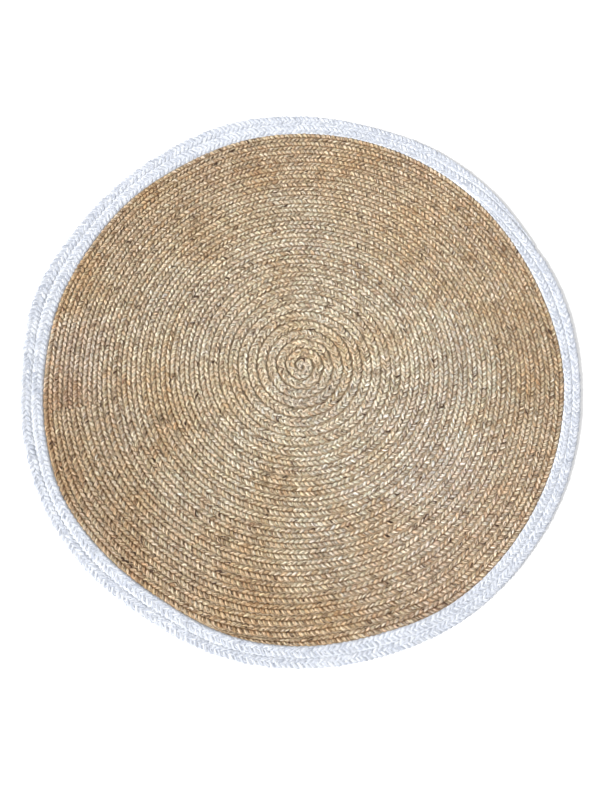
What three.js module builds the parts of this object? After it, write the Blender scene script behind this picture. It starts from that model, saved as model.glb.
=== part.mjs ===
// A round rug of braided jute with a white border.
// One three-strand plait of jute is wound in a flat spiral, clockwise and outwards, and sewn edge to edge.
// A white plait goes round it twice more, sewn on outside. Both plaits thin out to nothing at their ends.
// Millimetres, +Z up. The origin is the middle of the coil, on the floor that the rug lies on.

import * as THREE from "three";
import { mergeGeometries, mergeVertices } from "three/addons/utils/BufferGeometryUtils.js";

// Sizes of the rug and its plaits
const PLAIT_THICKNESS = 10;
const GROOVE_HEIGHT = 6.5; // the surface between two rounds, where they are sewn together
const SEAM_GAP = 0.3; // between the jute and the white border
const JUTE_TURNS = 27.5;
const WHITE_TURNS = 2;
const CREST_FROM_SIDE = 0.27; // a plait's top is flat from here to the same distance from its other side
const EDGE_HEIGHT = 3.5; // the rug's outer side leans out from the floor up to here
const EDGE_LEAN = 2.5;

// Where the plaits end, in degrees anticlockwise from +X, and the stretch over which an end thins out
const JUTE_END_ANGLE = 246;
const WHITE_END_ANGLE = 24;
const END_STRETCH = 30;

// The hand-made outline: the radius of the jute and of the whole rug, every 15 degrees from +X
const OUTLINE = [
  { angle: 0, jute: 560, rug: 595 },
  { angle: 15, jute: 554, rug: 596 },
  { angle: 30, jute: 553, rug: 593 },
  { angle: 45, jute: 557, rug: 600 },
  { angle: 60, jute: 559, rug: 604 },
  { angle: 75, jute: 559, rug: 600 },
  { angle: 90, jute: 558, rug: 604 },
  { angle: 105, jute: 555, rug: 607 },
  { angle: 120, jute: 547, rug: 599 },
  { angle: 135, jute: 546, rug: 595 },
  { angle: 150, jute: 542, rug: 595 },
  { angle: 165, jute: 545, rug: 602 },
  { angle: 180, jute: 545, rug: 594 },
  { angle: 195, jute: 552, rug: 598 },
  { angle: 210, jute: 559, rug: 603 },
  { angle: 225, jute: 554, rug: 601 },
  { angle: 240, jute: 551, rug: 597 },
  { angle: 255, jute: 561, rug: 604 },
  { angle: 270, jute: 563, rug: 604 },
  { angle: 285, jute: 561, rug: 603 },
  { angle: 300, jute: 567, rug: 605 },
  { angle: 315, jute: 564, rug: 602 },
  { angle: 330, jute: 561, rug: 599 },
  { angle: 345, jute: 560, rug: 597 },
];
const EVEN_WITHIN = 0.45; // inside this share of the radius the rounds are truly circular

// How finely the surfaces are divided. Both ends above lie on whole steps, so that the plaits' angles agree.
const STEPS_PER_TURN = 60;
const END_STEPS = Math.round((END_STRETCH / 360) * STEPS_PER_TURN);
const WELD = 0.001;

const { clamp, degToRad, euclideanModulo, smoothstep } = THREE.MathUtils;

// The angle of each step, in degrees, on a plait that runs clockwise and ends at endAngle.
function stepAngles(steps, endAngle) {
  return (step) => endAngle + (360 * euclideanModulo(steps - step, STEPS_PER_TURN)) / STEPS_PER_TURN;
}

// The radius of an edge at an angle: a smooth closed curve through a column of the table.
function outlineRadius(column, angle) {
  const place = euclideanModulo(angle, 360) / (OUTLINE[1].angle - OUTLINE[0].angle);
  const first = Math.floor(place);
  const row = (offset) => OUTLINE[euclideanModulo(first + offset, OUTLINE.length)][column];
  const along = place - first;
  const slopeHere = (row(1) - row(-1)) / 2;
  const slopeNext = (row(2) - row(0)) / 2;
  const rise = row(1) - row(0);
  return (
    row(0) +
    along * slopeHere +
    along ** 2 * (3 * rise - 2 * slopeHere - slopeNext) +
    along ** 3 * (slopeHere + slopeNext - 2 * rise)
  );
}

function meanRadius(column) {
  return OUTLINE.reduce((sum, row) => sum + row[column], 0) / OUTLINE.length;
}

function polar(radius, angle, height) {
  return new THREE.Vector3(radius * Math.cos(degToRad(angle)), radius * Math.sin(degToRad(angle)), height);
}

// A grid of faces, steps along and rows across, with each corner where place(step, row) puts it.
function bentGrid(steps, rows, place) {
  const grid = new THREE.PlaneGeometry(1, 1, steps, rows);
  const corners = grid.getAttribute("position");
  for (let row = 0; row <= rows; row++) {
    for (let step = 0; step <= steps; step++) {
      const { x, y, z } = place(step, row);
      corners.setXYZ(row * (steps + 1) + step, x, y, z);
    }
  }
  grid.deleteAttribute("normal");
  grid.deleteAttribute("uv");
  return grid;
}

// Grids that share their edges become one closed body. Faces that a pointed end leaves with no area go.
function closedBody(grids) {
  const skin = mergeVertices(mergeGeometries(grids), WELD);
  const corners = skin.index.array;
  const kept = [];
  for (let i = 0; i < corners.length; i += 3) {
    const [a, b, c] = corners.slice(i, i + 3);
    if (a !== b && b !== c && c !== a) {
      kept.push(a, b, c);
    }
  }
  skin.setIndex(kept);
  skin.computeVertexNormals();
  return skin;
}

// A plait's top, from its outer side over a flat crest to its inner side.
const PLAIT_SECTION = [
  { across: 0, crest: 0 },
  { across: CREST_FROM_SIDE, crest: 1 },
  { across: 1 - CREST_FROM_SIDE, crest: 1 },
  { across: 1, crest: 0 },
];

// The ribbed top of a wound plait. Its inner side at a step is its own outer side one turn before.
// It has its full height once it is at least half its width.
function plaitTop({ steps, angleAt, radiusAt, width }) {
  return bentGrid(steps, PLAIT_SECTION.length - 1, (step, row) => {
    const { across, crest } = PLAIT_SECTION[row];
    const outer = radiusAt(step);
    const inner = radiusAt(step - STEPS_PER_TURN);
    const rise = crest * Math.min(1, (2 * (outer - inner)) / width);
    const radius = across === 1 ? inner : outer + (inner - outer) * across;
    return polar(radius, angleAt(step), GROOVE_HEIGHT + (PLAIT_THICKNESS - GROOVE_HEIGHT) * rise);
  });
}

// The jute spiral. Its radius is worked out for even rounds and then drawn to the hand-made outline.
function makeJuteCoil() {
  const steps = Math.round(JUTE_TURNS * STEPS_PER_TURN);
  const angleAt = stepAngles(steps, JUTE_END_ANGLE);
  const edge = meanRadius("jute");
  const width = edge / (JUTE_TURNS - 0.5);

  const evenRadius = [];
  for (let step = 0; step <= steps; step++) {
    const turnBefore = step < STEPS_PER_TURN ? 0 : evenRadius[step - STEPS_PER_TURN];
    const opening = Math.min(1, step / STEPS_PER_TURN);
    const closing = Math.min(1, (steps - step) / END_STEPS);
    evenRadius.push(turnBefore + width * opening * closing);
  }

  const lastRound = steps - STEPS_PER_TURN;
  const radiusAt = (step) => {
    if (step <= 0) {
      return 0;
    }
    const evenEdge = evenRadius[lastRound + euclideanModulo(step - steps, STEPS_PER_TURN)];
    const stretch = outlineRadius("jute", angleAt(step)) / evenEdge - 1;
    return evenRadius[step] * (1 + stretch * smoothstep(evenRadius[step] / edge, EVEN_WITHIN, 1));
  };

  const rim = (step, height) => polar(radiusAt(lastRound + step), angleAt(lastRound + step), height);
  return closedBody([
    plaitTop({ steps, angleAt, radiusAt, width }),
    bentGrid(STEPS_PER_TURN, 1, (step, row) => rim(step, row * GROOVE_HEIGHT)),
    bentGrid(STEPS_PER_TURN, 1, (step, row) => (row === 0 ? new THREE.Vector3() : rim(step, 0))),
  ]);
}

// The white border. Its plait sets in and thins out at the same place, so that it fills the ring.
function makeWhiteBorder() {
  const steps = WHITE_TURNS * STEPS_PER_TURN + END_STEPS;
  const angleAt = stepAngles(steps, WHITE_END_ANGLE);
  const width = (meanRadius("rug") - meanRadius("jute")) / WHITE_TURNS;

  // How much of the ring lies inside a step's outer side: each turn adds its share as it sets in
  const shareAt = (step) => {
    let share = 0;
    for (let turn = 0; turn < WHITE_TURNS; turn++) {
      share += clamp((step - turn * STEPS_PER_TURN) / END_STEPS, 0, 1) / WHITE_TURNS;
    }
    return share;
  };
  const radiusAt = (step) => {
    const inner = outlineRadius("jute", angleAt(step)) + SEAM_GAP;
    return inner + (outlineRadius("rug", angleAt(step)) - inner) * shareAt(step);
  };

  const innerRim = (step, height) => polar(radiusAt(step - STEPS_PER_TURN), angleAt(step), height);
  const lastRound = steps - STEPS_PER_TURN;
  const outerRim = (step, height) => {
    const lean = EDGE_LEAN * Math.max(0, 1 - height / EDGE_HEIGHT);
    return polar(radiusAt(lastRound + step) - lean, angleAt(lastRound + step), height);
  };
  const outerHeights = [0, EDGE_HEIGHT, GROOVE_HEIGHT];
  return closedBody([
    plaitTop({ steps, angleAt, radiusAt, width }),
    bentGrid(STEPS_PER_TURN, 1, (step, row) => innerRim(step, (1 - row) * GROOVE_HEIGHT)),
    bentGrid(STEPS_PER_TURN, 1, (step, row) =>
      row === 0 ? innerRim(euclideanModulo(lastRound + step, STEPS_PER_TURN), 0) : outerRim(step, 0),
    ),
    bentGrid(STEPS_PER_TURN, 2, (step, row) => outerRim(step, outerHeights[row])),
  ]);
}

const jute = new THREE.MeshStandardMaterial({ color: 0xb99b6f, roughness: 0.95, metalness: 0 });
const bleached = new THREE.MeshStandardMaterial({ color: 0xe6e9ee, roughness: 0.95, metalness: 0 });

const juteCoil = new THREE.Mesh(makeJuteCoil(), jute);
juteCoil.name = "jute_coil";

const whiteBorder = new THREE.Mesh(makeWhiteBorder(), bleached);
whiteBorder.name = "white_border";

const rug = new THREE.Group();
rug.add(juteCoil, whiteBorder);

export default rug;
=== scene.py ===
# A round rug of braided jute with a white border.
# The source's two solids give its outline and its rounds. Here each round is the real three-strand plait,
# wound clockwise from the middle and sewn edge to edge. Metres, +Z up. The origin is the middle of the
# coil, on the floor that the rug lies on.

import math

import bmesh
import bpy
import numpy as np
from mathutils import Matrix, Vector


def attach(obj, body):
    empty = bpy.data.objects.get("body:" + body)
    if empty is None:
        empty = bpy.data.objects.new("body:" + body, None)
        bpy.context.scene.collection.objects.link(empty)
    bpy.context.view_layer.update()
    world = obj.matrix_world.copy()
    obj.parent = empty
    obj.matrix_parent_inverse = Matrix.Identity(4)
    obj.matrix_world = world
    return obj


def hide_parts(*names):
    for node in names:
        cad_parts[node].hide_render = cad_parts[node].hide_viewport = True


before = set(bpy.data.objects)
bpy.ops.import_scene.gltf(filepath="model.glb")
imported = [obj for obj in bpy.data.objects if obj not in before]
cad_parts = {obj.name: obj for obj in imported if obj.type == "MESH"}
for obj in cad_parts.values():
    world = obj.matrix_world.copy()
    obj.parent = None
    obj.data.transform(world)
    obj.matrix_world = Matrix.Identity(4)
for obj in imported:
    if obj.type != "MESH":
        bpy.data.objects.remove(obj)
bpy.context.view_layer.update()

# The coil's sizes, as the source has them. Angles are in degrees, anticlockwise from +X.
PLAIT_THICKNESS = 0.010
JUTE_TURNS = 27.5
JUTE_ROUNDS = JUTE_TURNS - 0.5  # across the mean radius, because the turns start and end at nothing
WHITE_TURNS = 2
JUTE_END_ANGLE = 246
WHITE_END_ANGLE = 24
END_STRETCH = 30  # the angle over which an end thins out
EVEN_WITHIN = 0.45  # inside this share of the radius the rounds are truly circular
SEAM_GAP = 0.0003
SOLID_STEPS = 60  # the source's steps in a turn
BAND_STEPS = 360  # and those used here

# How the strands run in a plait
STRANDS = 3
OVERLAP = 0.10  # the slope with which each strand overlaps the next, like a shingle
CLIMB_EARLY = 0.40  # in radians: a strand is over the others before it turns back at the plait's edge
STAY_OVER = 0.4  # how level it lies while it is over or under them
TURN_SPREAD = 0.14  # how much wider it is where it turns back
ZIGZAG = 0.05  # how straight it runs between its turns at the plait's edges
GROOVE_NARROW = 4  # the higher, the narrower the groove along the plait's middle line
NESTLE = 0.7  # how nearly each round's strands lie in the gaps of the round before
FIBRE_TWIST = -0.045  # the length in which the fibres go once round their strand

# How finely they are made
STRAND_SIDES = 8
RINGS_PER_REPEAT = 10
TUBE_SPACING = 3  # between the straight tubes that become strands, in their radii
STRAND_APART = 50  # between the strands' places in the fibre pattern, so that no two look alike
LENGTH_APART = 1.37  # and between those of two lengths of plait with seeds one apart

# Where the plaits start and stop, in turns
JUTE_START = 0.45
BLUNT_END = 0.012  # they stop this much before they thin out to nothing
PIECE_CUTS = (13.8, 19.4)  # the coil is divided into pieces here and at the mended rows
LENGTHS_IN_PIECES = (1, 1, 3, 3)  # how many lengths of plait each piece has

# Near the middle of the coil the plait bends most. Its seams are deeper there, and the dark sheet under its
# gaps, which is painted shade, lies lower.
MIDDLE_REACH = 0.26
MIDDLE_DIP = 0.0016
SHADE_SHEET_SINK = 0.0022

# How uneven hand work is: the most that each thing strays, and the length over which it does so.
# The width and the thickness stray by a share of themselves, and the phase by radians.
UNEVEN = {
    "width": {"reach": 0.12, "pitch": 0.014},
    "thickness": {"reach": 0.08, "pitch": 0.017},
    "sideways": {"reach": 0.0006, "pitch": 0.012},
    "phase": {"reach": 0.15, "pitch": 0.060},
    "wander": {"reach": 0.0005, "pitch": 0.110},
}
JUTE_SEED = 7
WHITE_SEED = 107
MENDED_SEED = 200
NEXT_ROW_SEED = 20  # added for each mended row

# The mended rows: short lengths of newer plait let into the rounds, pushed outwards where they end
MENDED_FROM = 206
MENDED_TO = 191
MENDED_ROUNDS = 5
ROUNDS_OUTSIDE = 1
MENDED_PUSH = 0.35  # of a plait's width

# A sheet half way up the plaits that closes the gaps between the strands and the rounds. It is coloured
# dark, as painted shade in the gaps.
JUTE_SHADE_SHEET = 0.0022  # its thickness
WHITE_SHADE_SHEET = 0.0040
SHADE_SHEET_SIDES = 120
SHADE_SHEET_RINGS = 9
SHADE_SHEET_SET_BACK = 0.004


def rim(node):
    """The radius of a node's outer edge at each of the source's steps of angle, read from its corners."""
    corners = np.array([corner.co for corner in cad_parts[node].data.vertices])
    turn = np.arctan2(corners[:, 1], corners[:, 0]) / (2 * np.pi)
    spoke = np.round(turn * SOLID_STEPS).astype(int) % SOLID_STEPS
    edge = np.zeros(SOLID_STEPS)
    np.maximum.at(edge, spoke, np.hypot(corners[:, 0], corners[:, 1]))
    return edge


def around(edge, angle):
    """A smooth closed curve through the radii of an edge, read at any angles in radians."""
    place = np.mod(angle, 2 * np.pi) / (2 * np.pi) * len(edge)
    first = np.floor(place).astype(int)
    part = place - first
    before, here, after, beyond = (edge[(first + offset) % len(edge)] for offset in (-1, 0, 1, 2))
    slope_here, slope_after, rise = (after - before) / 2, (beyond - here) / 2, after - here
    bend = 3 * rise - 2 * slope_here - slope_after
    return here + part * slope_here + part**2 * bend + part**3 * (slope_here + slope_after - 2 * rise)


def eased(share):
    """A share from 0 to 1 that sets in and stops gently."""
    return share**2 * (3 - 2 * share)


JUTE_EDGE = rim("jute_coil")
RUG_EDGE = rim("white_border")

# The two plaits. A strand's width and its swing to each side are shares of its plait's width.
JUTE = {
    "width": JUTE_EDGE.mean() / JUTE_ROUNDS,
    "repeat": 0.0315,  # the length in which a strand does the same again
    "strand": 0.40,
    "thickness": 0.0058,  # a strand's
    "square": 0.1,  # how far its section is from an ellipse towards a rectangle
    "sway": 0.312,
    "rise": 0.0018,  # how far it climbs and dips
    "level": 0.0050,  # the height of the plait's middle
    "groove": 0.36,  # how much flatter the plait is at its middle line
    "depth": 1.1,  # how much taller its lower half is, so that it reaches the floor
}
WHITE = {
    "width": (RUG_EDGE.mean() - JUTE_EDGE.mean()) / WHITE_TURNS,
    "repeat": 0.0330,
    "strand": 0.45,
    "thickness": 0.0040,
    "square": 0.1,
    "sway": 0.325,
    "rise": 0.0005,
    "level": 0.0058,
    "groove": 0.0,
    "depth": 2.1,
}


def turns_and_angles(steps, end_angle):
    """The turn and the angle of each step of a plait that runs clockwise and stops at an angle."""
    turn = np.arange(steps + 1) / BAND_STEPS
    return turn, math.radians(end_angle) + 2 * np.pi * (turn[-1] - turn)


def later_turns(steps):
    """The steps of each turn but the first, with those of the turn before it."""
    for first in range(BAND_STEPS, steps, BAND_STEPS):
        last = min(first + BAND_STEPS, steps)
        yield slice(first, last), slice(first - BAND_STEPS, last - BAND_STEPS)


class Band:
    """The band of floor that a wound plait covers. Its sides are radii, one for each step."""

    def __init__(self, end_angle, inner, outer, kind):
        self.steps = np.arange(len(outer))
        self.turn, self.angle = turns_and_angles(len(outer) - 1, end_angle)
        self.inner, self.outer = inner, outer
        self.width, self.level = kind["width"], kind["level"]
        self.middle, self.spread = (outer + inner) / 2, (outer - inner) / self.width
        sideways = (self.middle[1:] + self.middle[:-1]) * np.pi / BAND_STEPS
        stride = np.hypot(np.diff(self.middle), sideways)
        self.length = np.concatenate(([0], np.cumsum(stride)))
        self.crossings = self.length / kind["repeat"] * STRANDS
        for turn, turn_before in later_turns(len(outer)):
            ahead = 2 * np.pi * (self.crossings[turn] - self.crossings[turn_before])
            self.crossings[turn] -= NESTLE / np.pi * (np.sin(ahead) - np.sin(2 * ahead) / 2)

    def along(self, turn):
        """The length of plait from its start to a turn."""
        return float(np.interp(turn, self.turn, self.length))

    def phase(self, along):
        """How far through its swings the first strand is, in radians."""
        return 2 * np.pi / STRANDS * np.interp(along, self.length, self.crossings)

    def place(self, along, across, height):
        """Where a point of the straight plait lies in the coil."""
        step = np.interp(along, self.length, self.steps)
        sides = (self.middle, self.spread, self.angle)
        middle, spread, angle = (np.interp(step, self.steps, row) for row in sides)
        radius = middle + across * spread
        near_middle = np.clip(1 - middle / MIDDLE_REACH, 0, 1)

        # The plait has its full height once it has half its width
        level = self.level + height * np.minimum(1, 2 * spread)
        level -= MIDDLE_DIP * near_middle * (2 * across / self.width) ** 2
        level = np.maximum(level, 0)
        return np.stack((radius * np.cos(angle), radius * np.sin(angle), level), axis=-1)


def jute_band():
    """The jute spiral: worked out for even rounds and then drawn to the hand-made outline."""
    turn, angle = turns_and_angles(round(JUTE_TURNS * BAND_STEPS), JUTE_END_ANGLE)
    closing = np.minimum(1, (turn[-1] - turn) * 360 / END_STRETCH)
    even = JUTE["width"] * np.minimum(1, turn) * closing
    for own, turn_before in later_turns(len(turn)):
        even[own] += even[turn_before]
    last_round = len(turn) - 1 - BAND_STEPS
    even_edge = even[last_round + (np.arange(len(turn)) - len(turn) + 1) % BAND_STEPS]
    near_edge = np.clip((even / JUTE_EDGE.mean() - EVEN_WITHIN) / (1 - EVEN_WITHIN), 0, 1)
    outer = even * (1 + (around(JUTE_EDGE, angle) / even_edge - 1) * eased(near_edge))
    inner = np.concatenate((np.zeros(BAND_STEPS), outer[:-BAND_STEPS]))
    return Band(JUTE_END_ANGLE, inner, outer, JUTE)


def white_band():
    """The border's two rounds. The plait sets in and thins out at the same place, which fills the ring."""
    steps = round((WHITE_TURNS + END_STRETCH / 360) * BAND_STEPS)
    turn, angle = turns_and_angles(steps, WHITE_END_ANGLE)
    ring_inner = around(JUTE_EDGE, angle) + SEAM_GAP
    ring_width = around(RUG_EDGE, angle) - ring_inner

    def side(turn):
        share = sum(np.clip((turn - lap) * 360 / END_STRETCH, 0, 1) for lap in range(WHITE_TURNS))
        return ring_inner + ring_width * share / WHITE_TURNS

    return Band(WHITE_END_ANGLE, side(turn - 1), side(turn), WHITE)


def mended_bands(coil):
    """The bands of the mended rows, and the turns between which each lies, from the middle outwards."""
    first_turn = JUTE_TURNS + (JUTE_END_ANGLE - MENDED_FROM) / 360 - ROUNDS_OUTSIDE - MENDED_ROUNDS
    stretch = (MENDED_FROM - MENDED_TO) / 360
    starts = [round((first_turn + row) * BAND_STEPS) for row in range(MENDED_ROUNDS)]
    steps = round(stretch * BAND_STEPS) + 1
    zone_inner = coil.inner[starts[0] : starts[0] + steps]
    zone_outer = coil.outer[starts[-1] : starts[-1] + steps]
    push = MENDED_PUSH * JUTE["width"] * np.linspace(0, 1, steps)
    bands = []
    for start in starts:
        sides = []
        for side in (coil.inner, coil.outer):
            radius = side[start : start + steps]
            share = (radius - zone_inner) / (zone_outer - zone_inner)
            sides.append(radius + push * np.sin(np.pi * share))
        bands.append(Band(MENDED_TO, *sides, JUTE))
    return bands, [(start / BAND_STEPS, start / BAND_STEPS + stretch) for start in starts]


def uneven(kind, places, seed):
    """Smooth seeded unevenness along a length."""
    pitch = UNEVEN[kind]["pitch"]
    step = np.floor(places / pitch).astype(int)
    values = np.random.default_rng(seed).uniform(-1, 1, step.max() + 2)
    share = eased(places / pitch - step)
    return UNEVEN[kind]["reach"] * (values[step] * (1 - share) + values[step + 1] * share)


def straight_strands(rings):
    """The mesh of tubes of radius 1 along +X, side by side, one for each strand, closed at both ends."""
    strands = bmesh.new()
    number = strands.verts.layers.int.new("strand")
    facing_x = Matrix.Rotation(math.pi / 2, 4, "Y")
    for strand in range(STRANDS):
        aside = Matrix.Translation((0, TUBE_SPACING * strand, 0))
        circle = bmesh.ops.create_circle(strands, segments=STRAND_SIDES, radius=1, matrix=aside @ facing_x)
        for corner in circle["verts"]:
            corner[number] = strand
    grown = bmesh.ops.extrude_edge_only(strands, edges=strands.edges[:])["geom"]
    far = [part for part in grown if isinstance(part, bmesh.types.BMVert)]
    bmesh.ops.translate(strands, verts=far, vec=(1, 0, 0))
    one_ring = bpy.data.meshes.new("one_ring")
    strands.to_mesh(one_ring)
    strands.free()

    tubes = bpy.data.objects.new("tubes", one_ring)
    bpy.context.scene.collection.objects.link(tubes)
    row = tubes.modifiers.new("rings", "ARRAY")
    row.count = rings
    row.use_relative_offset, row.use_constant_offset = False, True
    row.constant_offset_displace = (1, 0, 0)
    row.use_merge_vertices = True
    seen = bpy.context.evaluated_depsgraph_get()
    mesh = bpy.data.meshes.new_from_object(tubes.evaluated_get(seen), depsgraph=seen)
    bpy.data.objects.remove(tubes)

    closed = bmesh.new()
    closed.from_mesh(mesh)
    open_ends = [edge for edge in closed.edges if edge.is_boundary]
    bmesh.ops.holes_fill(closed, edges=open_ends, sides=STRAND_SIDES)
    bmesh.ops.recalc_face_normals(closed, faces=closed.faces)
    closed.to_mesh(mesh)
    closed.free()
    return mesh


def corner_values(mesh):
    """The straight tubes' corners about their own middle lines, and the strand that each belongs to."""
    places = np.zeros(len(mesh.vertices) * 3, np.float32)
    mesh.vertices.foreach_get("co", places)
    places = places.reshape(-1, 3).astype(float)
    strand = np.zeros(len(mesh.vertices), np.int32)
    mesh.attributes["strand"].data.foreach_get("value", strand)
    mesh.attributes.remove(mesh.attributes["strand"])
    places[:, 1] -= TUBE_SPACING * strand
    return places, strand


def plaited(places, strand, along, swing, kind, seed):
    """Where the tubes' corners lie in a straight plait, and their places in their own untwisted strand."""
    phase, across = np.zeros(len(along)), uneven("wander", along, seed)
    half_width, half_thickness = np.zeros(len(along)), np.zeros(len(along))
    for number in range(STRANDS):
        own = strand == number
        own_along, own_seed = along[own], seed + 1 + number
        wider = uneven("width", own_along, own_seed + STRANDS)
        thicker = uneven("thickness", own_along, own_seed + 2 * STRANDS)
        phase[own] = swing[own] + 2 * np.pi * number / STRANDS + uneven("phase", own_along, seed)
        across[own] += uneven("sideways", own_along, own_seed)
        half_width[own] = kind["strand"] * kind["width"] / 2 * (1 + wider)
        half_thickness[own] = kind["thickness"] / 2 * (1 + thicker)
    half_width *= 1 + TURN_SPREAD * np.sin(phase) ** 2
    ring_side = places[:, 1] * half_width
    ring_up = places[:, 2] * (1 + kind["square"] * np.abs(places[:, 1])) * half_thickness

    # Each ring is square to the strand's path, which leans across the plait
    sway = kind["sway"] * kind["width"] / (1 + ZIGZAG)
    lean = sway * 2 * np.pi / kind["repeat"] * (np.cos(phase) - 3 * ZIGZAG * np.cos(3 * phase))
    square = np.sqrt(1 + lean**2)
    bent_along = along - ring_side * lean / square
    across += sway * (np.sin(phase) - ZIGZAG * np.sin(3 * phase)) + ring_side / square
    climb = np.tanh(STAY_OVER * np.sin(2 * phase + CLIMB_EARLY)) / math.tanh(STAY_OVER)
    height = ring_up - OVERLAP * np.cos(phase) * ring_side - kind["rise"] * climb
    height *= 1 - kind["groove"] * np.cos(np.pi * across / kind["width"]) ** GROOVE_NARROW
    height = np.where(height < 0, height * kind["depth"], height)
    height = np.maximum(height, -kind["level"])

    twist = 2 * np.pi * along / FIBRE_TWIST
    fibre_side = ring_side * np.cos(twist) - ring_up * np.sin(twist)
    fibre_up = ring_side * np.sin(twist) + ring_up * np.cos(twist)
    fibre = np.stack((along + STRAND_APART * strand + LENGTH_APART * seed, fibre_side, fibre_up), axis=-1)
    return bent_along, across, height, fibre


def lay_plait(band, start, end, kind, seed):
    """The mesh of a plait that fills a band from one turn to another.

    The materials follow two attributes of its corners: "fibre", the place in the untwisted strand, and
    "across", how far a corner is from the plait's middle line, in plaits.
    """
    ring = kind["repeat"] / RINGS_PER_REPEAT
    first, last = round(band.along(start) / ring), round(band.along(end) / ring)
    mesh = straight_strands(last - first)
    places, strand = corner_values(mesh)
    along = (first + places[:, 0]) * ring
    bent_along, across, height, fibre = plaited(places, strand, along, band.phase(along), kind, seed)
    corners = band.place(bent_along, across, height)
    mesh.vertices.foreach_set("co", corners.astype(np.float32).ravel())
    in_strand = mesh.attributes.new("fibre", "FLOAT_VECTOR", "POINT")
    in_strand.data.foreach_set("vector", fibre.astype(np.float32).ravel())
    in_plait = mesh.attributes.new("across", "FLOAT", "POINT")
    in_plait.data.foreach_set("value", (across / kind["width"]).astype(np.float32))
    return mesh


def joined(meshes):
    """One mesh of several."""
    whole = bmesh.new()
    for mesh in meshes:
        whole.from_mesh(mesh)
    one = bpy.data.meshes.new("joined")
    whole.to_mesh(one)
    whole.free()
    return one


def thick_sheet(sheet, thickness):
    """Gives a flat sheet its thickness, half way up the plaits."""
    bmesh.ops.recalc_face_normals(sheet, faces=sheet.faces)
    sheet.normal_update()
    bmesh.ops.solidify(sheet, geom=sheet.faces[:], thickness=thickness)
    lowest = min(corner.co.z for corner in sheet.verts)
    lift = (PLAIT_THICKNESS - thickness) / 2 - lowest
    bmesh.ops.translate(sheet, verts=sheet.verts, vec=(0, 0, lift))
    bmesh.ops.recalc_face_normals(sheet, faces=sheet.faces)
    mesh = bpy.data.meshes.new("sheet")
    sheet.to_mesh(mesh)
    sheet.free()
    return mesh


def edge_by(corner, edge):
    """The radius of an edge in a corner's direction."""
    return float(around(edge, math.atan2(corner.co.y, corner.co.x)))


def jute_shade_sheet():
    """The jute's sheet of painted shade under its gaps: a round sheet as wide as the coil, lower in the
    middle.
    """
    sheet = bmesh.new()
    bmesh.ops.create_circle(sheet, cap_ends=True, cap_tris=True, segments=SHADE_SHEET_SIDES, radius=1)
    spokes = [edge for edge in sheet.edges if not edge.is_boundary]
    bmesh.ops.subdivide_edges(sheet, edges=spokes, cuts=SHADE_SHEET_RINGS)
    for corner in sheet.verts:
        corner.co *= edge_by(corner, JUTE_EDGE)
    mesh = thick_sheet(sheet, JUTE_SHADE_SHEET)
    for corner in mesh.vertices:
        corner.co.z -= SHADE_SHEET_SINK * max(0, 1 - corner.co.xy.length / MIDDLE_REACH)
    return mesh


def white_shade_sheet():
    """The border's sheet of painted shade under its gaps: a ring that stays back from the rug's edge."""
    sheet = bmesh.new()
    bmesh.ops.create_circle(sheet, segments=SHADE_SHEET_SIDES, radius=1)
    inner = sheet.verts[:]
    bmesh.ops.extrude_edge_only(sheet, edges=sheet.edges[:])
    for corner in sheet.verts:
        if corner in inner:
            corner.co *= edge_by(corner, JUTE_EDGE) + SEAM_GAP
        else:
            corner.co *= edge_by(corner, RUG_EDGE) - SHADE_SHEET_SET_BACK
    return thick_sheet(sheet, WHITE_SHADE_SHEET)


def add_piece(mesh, name, material):
    """Shows a mesh as a piece of the rug."""
    mesh.name = name
    mesh.shade_smooth()
    mesh.materials.append(material)
    piece = bpy.data.objects.new(name, mesh)
    bpy.context.scene.collection.objects.link(piece)
    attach(piece, "root")
    return piece


# The patterns of the materials, as repeats in a metre along the strand, across it and up through it
HANK = (26, 60, 60)
YARN = (20, 400, 400)
TUFT = (170, 330, 330)
FINE_FIBRE = (45, 850, 850)
FLECK = (38, 150, 150)
LENGTH_OF_PLAIT = (1.3, 0, 0)
LINE_WAVER = (150, 0, 0)

# and in the rug, in every direction
ZONE = (5, 5, 5)
TANGLE = (700, 700, 700)

# How strongly they show, from 0 to 1
YARN_SHADE = 0.9
YARN_HUE = 0.45
STREAKS = 0.75
WHITE_STREAKS = 0.8

# Between which two values something sets in and is full
BETWEEN_YARNS = (0.16, 0)  # how far from a yarn's edge, in yarns
DARK_TUFTS = (0.48, 0.34)  # in values of the noise
PALE_TUFTS = (0.52, 0.66)
DARK_FLECKS = (0.664, 0.690)
# Painted shade at the sides of a strand, where it goes down between the others:
STRAND_SIDE = (0.0034, 0.0042)  # how far from a strand's axis
# Painted shade, fullest low in the grooves:
GROOVE = (0.0085, 0.0040)  # heights
# Painted shade on the border's raised tops, which tones down the light on them:
PAINTED_TOP_SHADE = (0.0062, 0.0076)
# Painted shade along the plait's middle line, where it dips:
PAINTED_LINE_SHADE = (0.12, 0.01)  # how far from the plait's middle line, in plaits
LINE_STRAY = (0.3, 0.7, -0.04, 0.04)  # the noise, and how far the line strays to each side with it
LINE_SHOWS = (0.08, 0.26, 0.15, 1.0)  # how far from the coil's middle, and how strongly it shows there

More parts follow.
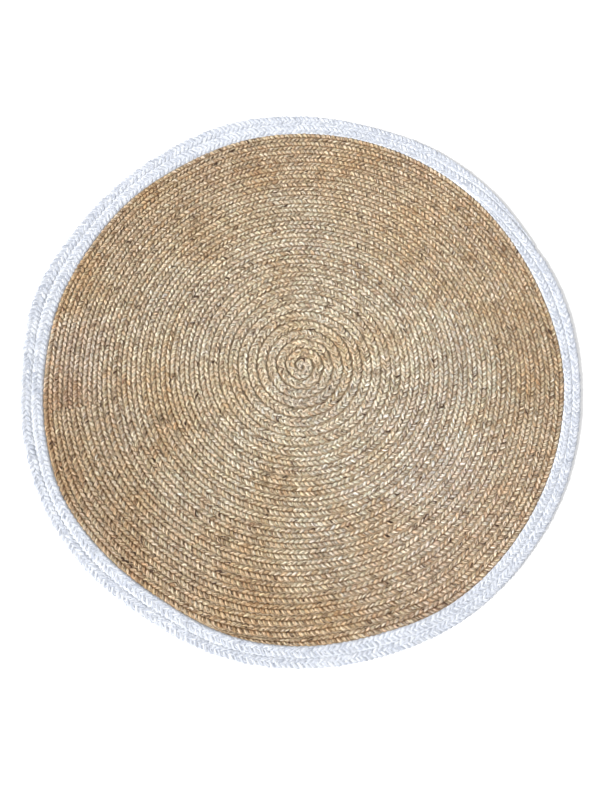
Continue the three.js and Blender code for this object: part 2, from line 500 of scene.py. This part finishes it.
# Large soft patches of another tint: the middle, how far from it the tint sets in and is full, and the tint.
# Two of them are tinted from there outwards.
AWAY_FROM_PALEST = {"middle": (0.160, -0.150, 0.005), "sets_in": 0.20, "full": 0.42, "tint": (250, 247, 244)}
OUTER_THIRD = {"middle": (0, 0, 0), "sets_in": 0.36, "full": 0.50, "tint": (244, 234, 224)}
GREYER_RIGHT = {"middle": (0.470, 0.020, 0.005), "sets_in": 0.26, "full": 0.08, "tint": (247, 250, 254)}
PALER_FRONT = {"middle": (0.300, -0.310, 0.005), "sets_in": 0.30, "full": 0.08, "tint": (260, 262, 272)}
DULLER_FRONT = {"middle": (-0.360, -0.260, 0.005), "sets_in": 0.28, "full": 0.08, "tint": (245, 244, 243)}
PALER_LEFT = {"middle": (-0.545, -0.010, 0.005), "sets_in": 0.17, "full": 0.05, "tint": (262, 268, 281)}
DULLER_WHITE = {"middle": (-0.570, 0.050, 0.005), "sets_in": 0.40, "full": 0.12, "tint": (247, 247, 247)}

# The jute at the joints of the mended rows, the older above them and the newer below
OLDER_JOINT = {"middle": (-0.530, -0.095, 0.005), "sets_in": 0.13, "full": 0.03, "tint": (236, 222, 208)}
NEWER_JOINT = {**OLDER_JOINT, "tint": (255, 252, 244)}

# The coil starts with a short greyish length, whose colour shows with this strength
COIL_START = {"middle": (0.003, -0.003, 0.007), "sets_in": 0.016, "full": 0.009, "tint": (226, 214, 200)}
START_STRENGTH = 0.6

# How rough the surfaces are, how much they shine, and the depth of their raised patterns
MATT = 0.85
VERY_MATT = 0.95
SHINE = 0.25
JUTE_RELIEF = 0.0018
WHITE_RELIEF = 0.0008
SHADE_SHEET_RELIEF = 0.0005
STREAK_RELIEF = 0.6  # the share of the jute's streaks in its raised pattern


def tint(red, green, blue):
    """A colour in Blender's linear values from ordinary 0 to 255 ones. A higher one makes a tint paler."""
    linear = (((part / 255 + 0.055) / 1.055) ** 2.4 for part in (red, green, blue))
    return (*linear, 1)


class Finish:
    """A material that is made of nodes, with a short call for each kind of node."""

    def __init__(self, name):
        self.material = bpy.data.materials.new(name)
        self.material.use_nodes = True
        self.tree = self.material.node_tree
        self.shader = self.tree.nodes["Principled BSDF"]

    def put(self, value, socket):
        """Links one node's outcome to another, or sets a plain value there."""
        if isinstance(value, bpy.types.NodeSocket):
            self.tree.links.new(value, socket)
        else:
            socket.default_value = value

    def node(self, kind, *values, **settings):
        """A new node, with its settings and the values of its first sockets."""
        made = self.tree.nodes.new("ShaderNode" + kind)
        for name, value in settings.items():
            setattr(made, name, value)
        for value, socket in zip(values, made.inputs):
            self.put(value, socket)
        return made

    def attribute(self, name):
        return self.node("Attribute", attribute_name=name).outputs

    def object_place(self):
        return self.node("TexCoord").outputs["Object"]

    def distance(self, middle):
        """How far a point of the piece is from a middle."""
        return self.node("VectorMath", self.object_place(), middle, operation="DISTANCE").outputs["Value"]

    def stretched(self, vector, scale):
        """A place that is multiplied along each axis, which sets how often a pattern repeats."""
        return self.node("VectorMath", vector, scale, operation="MULTIPLY").outputs["Vector"]

    def noise(self, vector, scale, detail=2.0, roughness=0.5):
        made = self.node("TexNoise")
        self.put(self.stretched(vector, scale), made.inputs["Vector"])
        made.inputs["Scale"].default_value = 1
        made.inputs["Detail"].default_value = detail
        made.inputs["Roughness"].default_value = roughness
        return made.outputs["Fac"]

    def cells(self, vector, scale):
        """Two values for each yarn, and how far from its edge a point is."""
        made = [self.node("TexVoronoi", feature=feature) for feature in ("F1", "DISTANCE_TO_EDGE")]
        for texture in made:
            self.put(self.stretched(vector, scale), texture.inputs["Vector"])
            texture.inputs["Scale"].default_value = 1
        values = self.node("SeparateColor", made[0].outputs["Color"]).outputs
        return values["Red"], values["Green"], made[1].outputs["Distance"]

    def maths(self, operation, *values):
        return self.node("Math", *values, operation=operation).outputs["Value"]

    def between(self, value, low, high, to_low=0.0, to_high=1.0):
        """Where a value is between two others, as a share that is held to the range."""
        return self.node("MapRange", value, low, high, to_low, to_high).outputs["Result"]

    def ramp(self, value, *stops):
        """A colour that changes with a value. Each stop is its place and its red, green and blue."""
        made = self.node("ValToRGB", value)
        elements = made.color_ramp.elements
        while len(elements) < len(stops):
            elements.new(1)
        for element, (place, *colour) in zip(elements, stops):
            element.position, element.color = place, tint(*colour)
        return made.outputs["Color"]

    def mix(self, share, first, second, blend="MIX"):
        made = self.tree.nodes.new("ShaderNodeMix")
        made.data_type, made.blend_type = "RGBA", blend
        self.put(share, made.inputs["Factor"])
        for name, value in (("A", first), ("B", second)):
            socket = next(s for s in made.inputs if s.name == name and s.type == "RGBA")
            self.put(value, socket)
        return next(s for s in made.outputs if s.type == "RGBA")

    def tinted(self, colour, shade, share=1.0):
        """A colour that is multiplied by a shade, as far as the share says."""
        return self.mix(share, colour, shade, "MULTIPLY")

    def patched(self, colour, patch):
        """A colour with a large soft patch of another tint."""
        share = self.between(self.distance(patch["middle"]), patch["sets_in"], patch["full"])
        return self.tinted(colour, tint(*patch["tint"]), share)

    def height(self):
        """How high above the floor a point of the piece is."""
        return self.node("SeparateXYZ", self.object_place()).outputs["Z"]

    def surface(self, colour, roughness, relief, depth):
        """Connects the colour, roughness and raised pattern, whose full height is depth in metres."""
        self.put(colour, self.shader.inputs["Base Color"])
        self.put(roughness, self.shader.inputs["Roughness"])
        bump = self.node("Bump")
        bump.inputs["Distance"].default_value = depth
        self.put(relief, bump.inputs["Height"])
        self.put(bump.outputs["Normal"], self.shader.inputs["Normal"])
        self.shader.inputs["Specular IOR Level"].default_value = SHINE
        return self.material


def jute_finish(name, joint):
    """Loose jute fibre: yarns of cream, straw, tan and grey along each strand, streaks and dark flecks."""
    finish = Finish(name)
    fibre = finish.attribute("fibre")["Vector"]
    colour = finish.ramp(
        finish.noise(fibre, HANK),
        (0.30, 252, 239, 226),
        (0.42, 254, 248, 239),
        (0.50, 255, 255, 255),
        (0.58, 251, 252, 242),
        (0.70, 240, 242, 244),
    )
    yarn, hue, edge = finish.cells(fibre, YARN)
    yarn_shade = finish.ramp(
        yarn,
        (0.00, 140, 122, 105),
        (0.14, 216, 203, 186),
        (0.42, 255, 247, 232),
        (0.70, 255, 255, 247),
        (1.00, 250, 250, 248),
    )
    yarn_hue = finish.ramp(
        hue,
        (0.00, 248, 228, 216),
        (0.10, 254, 246, 239),
        (0.50, 255, 253, 248),
        (0.80, 250, 253, 236),
        (1.00, 244, 250, 254),
    )
    colour = finish.tinted(colour, yarn_shade, YARN_SHADE)
    colour = finish.tinted(colour, yarn_hue, YARN_HUE)
    tufts = finish.noise(fibre, TUFT, roughness=0.6)
    colour = finish.tinted(colour, tint(207, 202, 196), finish.between(tufts, *DARK_TUFTS))
    colour = finish.tinted(colour, tint(276, 276, 278), finish.between(tufts, *PALE_TUFTS))
    between_yarns = finish.between(edge, *BETWEEN_YARNS)
    # Painted shade in the grooves between the yarns
    colour = finish.tinted(colour, tint(216, 208, 197), between_yarns)

    # Painted shade: the sides of a strand, where it goes down between the others, and the line along the
    # middle of the plait, where the plait dips, are darker
    from_axis = finish.node("VectorMath", finish.stretched(fibre, (0, 1, 1)), operation="LENGTH")
    painted_side_shade = finish.between(from_axis.outputs["Value"], *STRAND_SIDE)
    colour = finish.tinted(colour, tint(200, 189, 175), painted_side_shade)
    stray = finish.between(finish.noise(fibre, LINE_WAVER), *LINE_STRAY)
    from_line = finish.maths("ABSOLUTE", finish.maths("ADD", finish.attribute("across")["Fac"], stray))
    shows = finish.between(finish.distance((0, 0, 0)), *LINE_SHOWS)
    painted_line_shade = finish.maths("MULTIPLY", finish.between(from_line, *PAINTED_LINE_SHADE), shows)
    colour = finish.tinted(colour, tint(168, 152, 134), painted_line_shade)

    # The plait was made in lengths whose jute differs, and so do parts of the rug
    length_shade = finish.ramp(
        finish.noise(fibre, LENGTH_OF_PLAIT, detail=3),
        (0.36, 242, 231, 216),
        (0.48, 255, 253, 248),
        (0.60, 246, 243, 242),
    )
    zone_shade = finish.ramp(
        finish.noise(finish.object_place(), ZONE, detail=3),
        (0.38, 246, 236, 224),
        (0.50, 255, 255, 255),
        (0.62, 248, 247, 250),
    )
    colour = finish.tinted(finish.tinted(colour, length_shade), zone_shade)
    parts = (OUTER_THIRD, AWAY_FROM_PALEST, GREYER_RIGHT, PALER_FRONT, DULLER_FRONT, PALER_LEFT, joint)
    for patch in parts:
        colour = finish.patched(colour, patch)
    from_start = finish.distance(COIL_START["middle"])
    start = finish.between(from_start, COIL_START["sets_in"], COIL_START["full"], 0, START_STRENGTH)
    colour = finish.mix(start, colour, tint(*COIL_START["tint"]))

    streaks = finish.noise(fibre, FINE_FIBRE, detail=3, roughness=0.65)
    streak_shade = finish.ramp(
        streaks,
        (0.32, 166, 157, 144),
        (0.50, 255, 253, 250),
        (0.70, 255, 255, 255),
    )
    colour = finish.tinted(colour, streak_shade, STREAKS)
    flecks = finish.between(finish.noise(fibre, FLECK), *DARK_FLECKS)
    colour = finish.mix(flecks, colour, tint(84, 64, 52))
    # Painted shade: the lower a point lies in the grooves, the darker it is
    colour = finish.tinted(colour, tint(242, 235, 226), finish.between(finish.height(), *GROOVE))
    raised_streaks = finish.maths("MULTIPLY", streaks, STREAK_RELIEF)
    relief = finish.maths("SUBTRACT", raised_streaks, between_yarns)
    return finish.surface(colour, MATT, relief, JUTE_RELIEF)


def white_finish():
    """Bleached jute: white with a blue-grey cast between its fibres, partly painted shade in the grooves
    between its yarns, and greyer where it is raised, a painted shade that tones down the light on its tops.
    """
    finish = Finish("bleached_jute")
    fibre = finish.attribute("fibre")["Vector"]
    colour = finish.ramp(
        finish.noise(fibre, HANK),
        (0.35, 238, 240, 243),
        (0.60, 247, 248, 249),
    )
    streaks = finish.noise(fibre, FINE_FIBRE, detail=3, roughness=0.65)
    streak_shade = finish.ramp(
        streaks,
        (0.30, 222, 225, 231),
        (0.52, 255, 255, 255),
    )
    yarn, _, edge = finish.cells(fibre, YARN)
    yarn_shade = finish.ramp(
        yarn,
        (0.00, 206, 209, 216),
        (0.40, 247, 248, 251),
        (1.00, 255, 255, 255),
    )
    colour = finish.tinted(colour, streak_shade, WHITE_STREAKS)
    colour = finish.tinted(colour, yarn_shade)
    between_yarns = finish.between(edge, *BETWEEN_YARNS)
    # Painted blue-grey shade in the grooves between the yarns
    colour = finish.tinted(colour, tint(228, 231, 237), between_yarns)
    # Painted shade: greyer where it is raised, which tones down the light on its tops against its shaded
    # hollows
    colour = finish.tinted(colour, tint(230, 231, 234), finish.between(finish.height(), *PAINTED_TOP_SHADE))
    colour = finish.patched(colour, DULLER_WHITE)
    relief = finish.maths("SUBTRACT", streaks, between_yarns)
    return finish.surface(colour, MATT, relief, WHITE_RELIEF)


def shade_sheet_finish(name, dark, pale):
    """Painted shade for a sheet that shows through the gaps between strands and rounds, in a dark tangled
    tone. The dark and the pale are stops of a ramp.
    """
    finish = Finish(name)
    tangle = finish.noise(finish.object_place(), TANGLE, detail=3)
    return finish.surface(finish.ramp(tangle, dark, pale), VERY_MATT, tangle, SHADE_SHEET_RELIEF)


# The camera, the light and the floor
CAMERA_PLACE = Vector((-0.0272, -0.3369, 1.2456))
CAMERA_AIM = Vector((-0.0054, -0.0734, 0))
CAMERA_RIGHT = Vector((0.99985, 0, 0.0175))
LENS = 27.05  # for a sensor of 36 mm along the picture's long side
WINDOW_PLACE = Vector((-2.7, -1.0, 1.75))
WINDOW_STRENGTH = 5.3
WINDOW_WIDTH = 14  # the angle that it fills, in degrees
SKY_STRENGTH = 0.84
FLOOR_REACH = 30
FLOOR_SHADE = 0.9
FLOOR_ROUGHNESS = 0.9


def add_camera():
    data = bpy.data.cameras.new("camera")
    data.lens = LENS
    camera = bpy.data.objects.new("camera", data)
    bpy.context.scene.collection.objects.link(camera)
    back = (CAMERA_PLACE - CAMERA_AIM).normalized()
    up = back.cross(CAMERA_RIGHT).normalized()
    turn = Matrix((up.cross(back), up, back)).transposed()
    camera.matrix_world = Matrix.Translation(CAMERA_PLACE) @ turn.to_4x4()
    bpy.context.scene.camera = camera


def add_window():
    """A broad far light, as from a large window."""
    data = bpy.data.lights.new("window", "SUN")
    data.angle, data.energy = math.radians(WINDOW_WIDTH), WINDOW_STRENGTH
    light = bpy.data.objects.new("window", data)
    light.location = WINDOW_PLACE
    light.rotation_euler = (-WINDOW_PLACE).to_track_quat("-Z", "Y").to_euler()
    bpy.context.scene.collection.objects.link(light)


def add_sky():
    world = bpy.data.worlds.new("studio")
    world.use_nodes = True
    sky = world.node_tree.nodes["Background"].inputs
    sky["Color"].default_value = (1, 1, 1, 1)
    sky["Strength"].default_value = SKY_STRENGTH
    bpy.context.scene.world = world


def add_floor():
    grid = bmesh.new()
    bmesh.ops.create_grid(grid, x_segments=1, y_segments=1, size=FLOOR_REACH)
    mesh = bpy.data.meshes.new("floor")
    grid.to_mesh(mesh)
    grid.free()
    finish = Finish("pale_floor")
    finish.shader.inputs["Base Color"].default_value = (FLOOR_SHADE, FLOOR_SHADE, FLOOR_SHADE, 1)
    finish.shader.inputs["Roughness"].default_value = FLOOR_ROUGHNESS
    mesh.materials.append(finish.material)
    floor = bpy.data.objects.new("floor", mesh)
    bpy.context.scene.collection.objects.link(floor)


def make_jute():
    """The jute coil in four pieces, its mended rows and its sheet of painted shade."""
    coil = jute_band()
    rows, gaps = mended_bands(coil)
    breaks = [*((cut, cut) for cut in PIECE_CUTS), *gaps]
    ends = [JUTE_START, *(turn for pair in breaks for turn in pair), JUTE_TURNS - BLUNT_END]
    lengths = [
        lay_plait(coil, start, end, JUTE, JUTE_SEED)
        for start, end in zip(ends[::2], ends[1::2])
    ]
    jute = jute_finish("natural_jute", OLDER_JOINT)
    pieces = []
    for count, number in enumerate(LENGTHS_IN_PIECES, 1):
        own, lengths = lengths[:number], lengths[number:]
        pieces.append(add_piece(joined(own), f"jute_plait_{count}", jute))
    short_lengths = [
        lay_plait(row, 0, row.turn[-1], JUTE, MENDED_SEED + NEXT_ROW_SEED * count)
        for count, row in enumerate(rows)
    ]
    newer_jute = jute_finish("newer_jute", NEWER_JOINT)
    pieces.append(add_piece(joined(short_lengths), "mended_rows", newer_jute))
    # The sheet under the jute's gaps is painted darker than the jute, as painted shade down in the gaps
    gap_shade = shade_sheet_finish("jute_gap_shade", (0.35, 126, 108, 86), (0.65, 182, 164, 138))
    shade_sheet = add_piece(jute_shade_sheet(), "jute_shade_sheet", gap_shade)
    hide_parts("jute_coil")
    return shade_sheet, pieces


def make_border():
    """The white border and its sheet of painted shade."""
    end = WHITE_TURNS + END_STRETCH / 360 - BLUNT_END
    mesh = lay_plait(white_band(), BLUNT_END, end, WHITE, WHITE_SEED)
    plait = add_piece(mesh, "white_plait", white_finish())
    # The sheet under the border's gaps is painted blue-grey, as painted shade down in the gaps
    gap_shade = shade_sheet_finish("white_gap_shade", (0.35, 190, 194, 202), (0.65, 214, 217, 224))
    shade_sheet = add_piece(white_shade_sheet(), "white_shade_sheet", gap_shade)
    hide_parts("white_border")
    return [plait, shade_sheet]


add_camera()
add_window()
add_sky()
add_floor()
bpy.context.scene.view_settings.view_transform = "Standard"

jute_sheet, jute_pieces = make_jute()
white_pieces = make_border()
